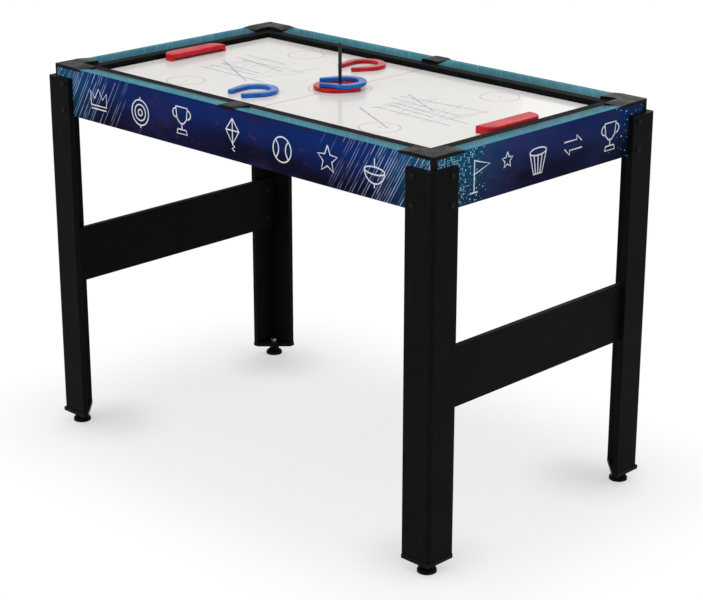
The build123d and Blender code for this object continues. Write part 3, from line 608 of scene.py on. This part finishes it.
# Tactics lines on the board: thin grey-blue strokes, printed as if drawn by a quick hand, in
# each half of the field.
tactic_blue = (0.12, 0.155, 0.30, 1)
tactic_width = 0.0030
tactic_rise = 0.0001
board_face = 0.7713
tactic_x = 0.245
tactic_y = -0.010
line_count = 7
line_gap = 0.024
line_start = 0.10
zigzag_points = 6
zigzag_step = 0.036
zigzag_reach = 0.05
tactic_ink, tree, shader, place = start_material("tactic_ink", Specular_IOR_Level=0.4)
surface = handle(tree, place, smudge_scale=80.0, grain_scale=700.0)
faded = between(tree, surface["Smudge"], 0.0, 1.0, 0.05, 0.5)
colour_in(tree, shader, faded, tactic_blue, board_shade)
roughen(tree, shader, surface["Smudge"], span=0.15, base=0.35)
dice = random.Random(11)
strokes = []
for way in (-1, 1):
    middle_x, middle_y = tactic_x * way, tactic_y * way
    for line in range(line_count):
        row = (line - (line_count - 1) / 2) * line_gap
        start_x = middle_x - line_start + dice.uniform(-0.02, 0.02)
        start_y = middle_y + row + dice.uniform(-0.006, 0.006)
        reach = dice.uniform(0.12, 0.21)
        steeper = 1 if line % 3 else 3
        rise = reach * dice.uniform(-0.2, 0.2) * steeper
        strokes.append([(start_x, start_y), (start_x + reach, start_y + rise)])
    for row in (-0.02, 0.03):
        zigzag = []
        for step in range(zigzag_points):
            x = middle_x + (step - (zigzag_points - 1) / 2) * zigzag_step
            swing = zigzag_reach if step % 2 else -zigzag_reach
            zigzag.append((x, middle_y + row + swing + dice.uniform(-0.012, 0.012)))
        strokes.append(zigzag)
on_board = lambda u, v, out: (u, v, board_face + out)
tactics = line_art("field_tactics_lines", strokes, tactic_width, tactic_rise, on_board)
tactics.data.materials.append(tactic_ink)
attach(tactics, "playing_board")

# Legs and stretchers: black foiled boards, two glued to an L for each leg, and one wide board
# between the legs of each end. The foil has a faint upright grain and a silky sheen.
leg_black = (0.0052, 0.0052, 0.0054, 1)
leg_worn = (0.0115, 0.0115, 0.0118, 1)


def leg_material(name, stretch):
    """Black foil with its faint grain along the direction of the smallest stretch."""
    material, tree, shader, place = start_material(name, Specular_IOR_Level=0.022)
    fibre = noise(tree, stretched(tree, place, stretch), scale=1.0, detail=4.0)
    surface = handle(tree, place, smudge_scale=12.0, grain_scale=1200.0)
    pale = times(tree, between(tree, fibre, 0.48, 0.72), 0.6)
    colour_in(tree, shader, pale, leg_black, leg_worn)
    rough = maths(tree, "MULTIPLY_ADD", surface["Smudge"], 0.10, 0.40)
    roughen(tree, shader, fibre, span=0.08, base=rough)
    height = maths(tree, "MULTIPLY_ADD", surface["Grain"], 0.4, fibre)
    relief(tree, shader, height, distance=0.00015)
    return material


dress(leg_material("leg_foil", (700.0, 700.0, 22.0)), *[f"{corner}_leg" for corner in corners])
dress(leg_material("stretcher_foil", (700.0, 22.0, 700.0)), "left_stretcher", "right_stretcher")

# Steel parts: zinc plated brackets, nuts and screws inside, and black plated bolts where
# they show.
zinc_bright = (0.62, 0.63, 0.64, 1)
zinc_dull = (0.40, 0.42, 0.45, 1)
steel_black = (0.007, 0.007, 0.0075, 1)
steel_rubbed = (0.022, 0.022, 0.023, 1)


def plated_material(name, bright, dull, metal, gloss, rough):
    """Plated steel: crystals of the plating, fine handling marks and a rubbed look."""
    settings = {"Metallic": metal, "Specular_IOR_Level": gloss}
    material, tree, shader, place = start_material(name, **settings)
    surface = handle(tree, place, smudge_scale=60.0, grain_scale=1600.0)
    crystal = put(tree, "TexVoronoi", {"Vector": place, "Scale": 260.0}).outputs["Color"]
    shade = put(tree, "SeparateColor", {0: crystal}).outputs[0]
    mix = times(tree, maths(tree, "ADD", shade, surface["Smudge"]), 0.45)
    colour_in(tree, shader, mix, bright, dull)
    roughen(tree, shader, surface["Smudge"], span=0.14, base=rough)
    relief(tree, shader, surface["Grain"], distance=0.0001)
    return material


zinc = plated_material("zinc_plate", zinc_bright, zinc_dull, metal=1.0, gloss=0.5, rough=0.30)
black_plate = plated_material(
    "black_plate", steel_black, steel_rubbed, metal=0.1, gloss=0.06, rough=0.45
)
dress(zinc, "foot_nuts", "leg_nuts", "bed_screws", "cleat_screws", "apron_screws")
dress(zinc, "plate_screws", *[f"{corner}_bracket" for corner in corners])
dress(black_plate, "leg_bolts", "stretcher_screws")

# Levelling feet: black moulded pads with a hexagon to turn them by, on a threaded stem that
# screws up into the moulded plate under the leg.
foot_black = (0.0045, 0.0045, 0.0045, 1)
foot_scuffed = (0.026, 0.025, 0.024, 1)
scuff_height = 0.006
thread_pitch = 0.00125
stem_low = 0.0143
foot_plastic, tree, shader, place = start_material("foot_plastic", Specular_IOR_Level=0.03)
level = put(tree, "SeparateXYZ", {0: place}).outputs["Z"]
surface = handle(tree, place, smudge_scale=90.0, grain_scale=900.0)
scuff = times(tree, between(tree, level, scuff_height, 0.0, 0.0, 0.8), surface["Smudge"])
colour_in(tree, shader, scuff, foot_black, foot_scuffed)
roughen(tree, shader, surface["Smudge"], span=0.15, base=0.45)
thread = maths(tree, "SINE", times(tree, level, 2 * math.pi / thread_pitch))
thread = times(tree, thread, maths(tree, "GREATER_THAN", level, stem_low))
height = maths(tree, "MULTIPLY_ADD", surface["Grain"], 0.1, thread)
relief(tree, shader, height, distance=0.0003)
dress(foot_plastic, *[f"{corner}_foot" for corner in corners])
dress(cap_plastic, *[f"{corner}_leg_plate" for corner in corners])

# Goals, stake and horseshoes: glossy injection mouldings in red, blue and black, coloured
# through, with soft flow marks and the light scratches of play.
goal_red = (0.60, 0.022, 0.034, 1)
goal_deep = (0.50, 0.014, 0.024, 1)
shoe_red = (0.55, 0.008, 0.012, 1)
shoe_red_deep = (0.36, 0.004, 0.008, 1)
shoe_blue = (0.006, 0.125, 0.50, 1)
shoe_blue_deep = (0.003, 0.070, 0.33, 1)
stake_black = (0.012, 0.012, 0.013, 1)
stake_grey = (0.030, 0.030, 0.031, 1)
scratch_turn = (0, 0, 0.6)
scratch_stretch = (60.0, 900.0, 400.0)


def moulded_material(name, bright, deep, gloss, rough, coat):
    """Glossy moulded plastic: flow marks in the colour and fine scratches in the gloss."""
    settings = {"Specular_IOR_Level": gloss, "Coat_Weight": coat, "Coat_Roughness": 0.12}
    material, tree, shader, place = start_material(name, **settings)
    surface = handle(tree, place, smudge_scale=35.0, grain_scale=480.0)
    turned = {"Vector": place, "Rotation": scratch_turn, "Scale": scratch_stretch}
    scratch = noise(tree, put(tree, "Mapping", turned).outputs[0], scale=1.0, detail=2.0)
    scratch = between(tree, scratch, 0.66, 0.74, 0.0, 0.12)
    colour_in(tree, shader, surface["Smudge"], bright, deep)
    rougher = maths(tree, "MULTIPLY_ADD", surface["Smudge"], 0.08, rough)
    tree.links.new(maths(tree, "ADD", rougher, scratch), shader["Roughness"])
    relief(tree, shader, surface["Grain"], distance=0.00006)
    return material


shoe_gloss = {"gloss": 0.15, "rough": 0.22, "coat": 0.12}
goal_gloss = {"gloss": 0.06, "rough": 0.30, "coat": 0.02}
stake_gloss = {"gloss": 0.15, "rough": 0.30, "coat": 0.0}
goal_plastic = moulded_material("goal_plastic", goal_red, goal_deep, **goal_gloss)
red_plastic = moulded_material("red_shoe_plastic", shoe_red, shoe_red_deep, **shoe_gloss)
blue_plastic = moulded_material("blue_shoe_plastic", shoe_blue, shoe_blue_deep, **shoe_gloss)
stake_plastic = moulded_material("stake_plastic", stake_black, stake_grey, **stake_gloss)
dress(goal_plastic, "left_goal", "right_goal")
dress(red_plastic, "stack_red_horseshoe", "loose_red_horseshoe")
dress(blue_plastic, "stack_blue_horseshoe", "loose_blue_horseshoe")
dress(stake_plastic, "stake_base", "stake_rod")

# Room: a plain pale floor that runs out into white, soft lamps from three sides and one above.
# Under the table, and more by each foot, the white is let back: a painted shade that greys the
# floor there, on top of the table's own shadow.
floor_size = 14.0
floor_white = (0.82, 0.82, 0.82, 1)
floor_pale = (0.84, 0.84, 0.84, 1)
painted_shade_core = (0.46, 0.23, 0)
floor_fade = (0.04, 0.40)
floor_glow = 0.72
foot_shade_place = (0.46, 0.25, 0)
foot_shade_reach = (0.01, 0.16)
foot_shade = 0.24
plain_white = (1, 1, 1, 1)
world_light = 0.45
bpy.ops.object.select_all(action="DESELECT")
bpy.ops.mesh.primitive_plane_add(size=floor_size, location=(0, 0, 0))
floor = bpy.context.object
floor.name = "room_floor"
floor_paint, tree, shader, place = start_material(
    "floor_paint", Specular_IOR_Level=0.1, Roughness=0.9
)
blemish = between(tree, noise(tree, place, scale=3.0, detail=2.0), 0.3, 0.7)
colour_in(tree, shader, blemish, floor_white, floor_pale)
# Painted shade: less white inside the table's footprint and round each foot, so the floor is greyer
# there.
quarter = vector_maths(tree, "ABSOLUTE", place)
to_foot = {0: quarter, 1: foot_shade_place}
to_foot = put(tree, "VectorMath", to_foot, operation="DISTANCE").outputs["Value"]
painted_foot_shade = between(tree, to_foot, *foot_shade_reach, foot_shade, 0.0)
outward = vector_maths(tree, "SUBTRACT", quarter, painted_shade_core)
outward = vector_maths(tree, "MAXIMUM", outward, (0, 0, 0))
distance = put(tree, "VectorMath", {0: outward}, operation="LENGTH").outputs["Value"]
seen = put(tree, "LightPath").outputs
seen_white = maths(tree, "MAXIMUM", seen["Is Camera Ray"], seen["Is Glossy Ray"])
far = between(tree, distance, *floor_fade, floor_glow, 1.0)
far = times(tree, maths(tree, "SUBTRACT", far, painted_foot_shade), seen_white)
lit = tree.nodes["Principled BSDF"].outputs[0]
white = put(tree, "Emission", {"Color": plain_white, "Strength": 1.0}).outputs[0]
joined = put(tree, "MixShader", {0: far, 1: lit, 2: white}).outputs[0]
behind = put(tree, "NewGeometry").outputs["Backfacing"]
from_below = times(tree, behind, seen["Is Camera Ray"])
clear = put(tree, "BsdfTransparent").outputs[0]
joined = put(tree, "MixShader", {0: from_below, 1: joined, 2: clear}).outputs[0]
tree.links.new(joined, tree.nodes["Material Output"].inputs["Surface"])
floor.data.materials.append(floor_paint)

world = bpy.data.worlds.new("room_light")
world.use_nodes = True
bpy.context.scene.world = world
tree = world.node_tree
seen = put(tree, "LightPath").outputs
mirrored = maths(tree, "MAXIMUM", seen["Is Glossy Ray"], seen["Is Transmission Ray"])
seen_white = maths(tree, "MAXIMUM", seen["Is Camera Ray"], mirrored)
dim = tree.nodes["Background"]
dim.inputs["Color"].default_value = plain_white
dim.inputs["Strength"].default_value = world_light
backdrop = put(tree, "Background", {"Color": plain_white, "Strength": 1.0})
joined = put(tree, "MixShader", {0: seen_white, 1: dim.outputs[0], 2: backdrop.outputs[0]})
tree.links.new(joined.outputs[0], tree.nodes["World Output"].inputs["Surface"])

# Each lamp has its place, the place that it aims at, its size and its power.
lamps = {
    "overhead_lamp": ((0.3, -0.4, 3.2), (0, 0, 0.7), 2.6, 34.0),
    "front_lamp": ((-0.4, -3.6, 2.0), (0.1, 0, 0.5), 2.0, 30.0),
    "right_lamp": ((3.2, 0.6, 1.8), (0, 0, 0.5), 1.8, 12.0),
    "back_lamp": ((-1.0, 3.0, 2.4), (0, 0, 0.6), 2.0, 14.0),
}
for name, (spot, aim, size, energy) in lamps.items():
    bpy.ops.object.light_add(type="AREA", radius=size, location=spot)
    lamp = bpy.context.object
    lamp.name = name
    lamp.data.energy = energy
    lamp.data.size = size
    away = [end - start for start, end in zip(spot, aim)]
    flat = math.hypot(away[0], away[1])
    lamp.rotation_euler = (math.atan2(flat, -away[2]), 0, math.atan2(-away[0], away[1]))

# Camera: level with the photograph's viewpoint, above the near corner, with a long lens.
camera_place = (2.6891, -2.6856, 1.6638)
camera_tilt = 70.647
camera_turn = 44.697
camera_lens = 100.74
camera_sensor = 36.0
bpy.ops.object.camera_add(location=camera_place)
camera = bpy.context.object
camera.name = "photo_camera"
camera.rotation_euler = (math.radians(camera_tilt), 0, math.radians(camera_turn))
camera.data.lens = camera_lens
camera.data.sensor_width = camera_sensor
bpy.context.scene.camera = camera
bpy.context.scene.view_settings.view_transform = "Standard"
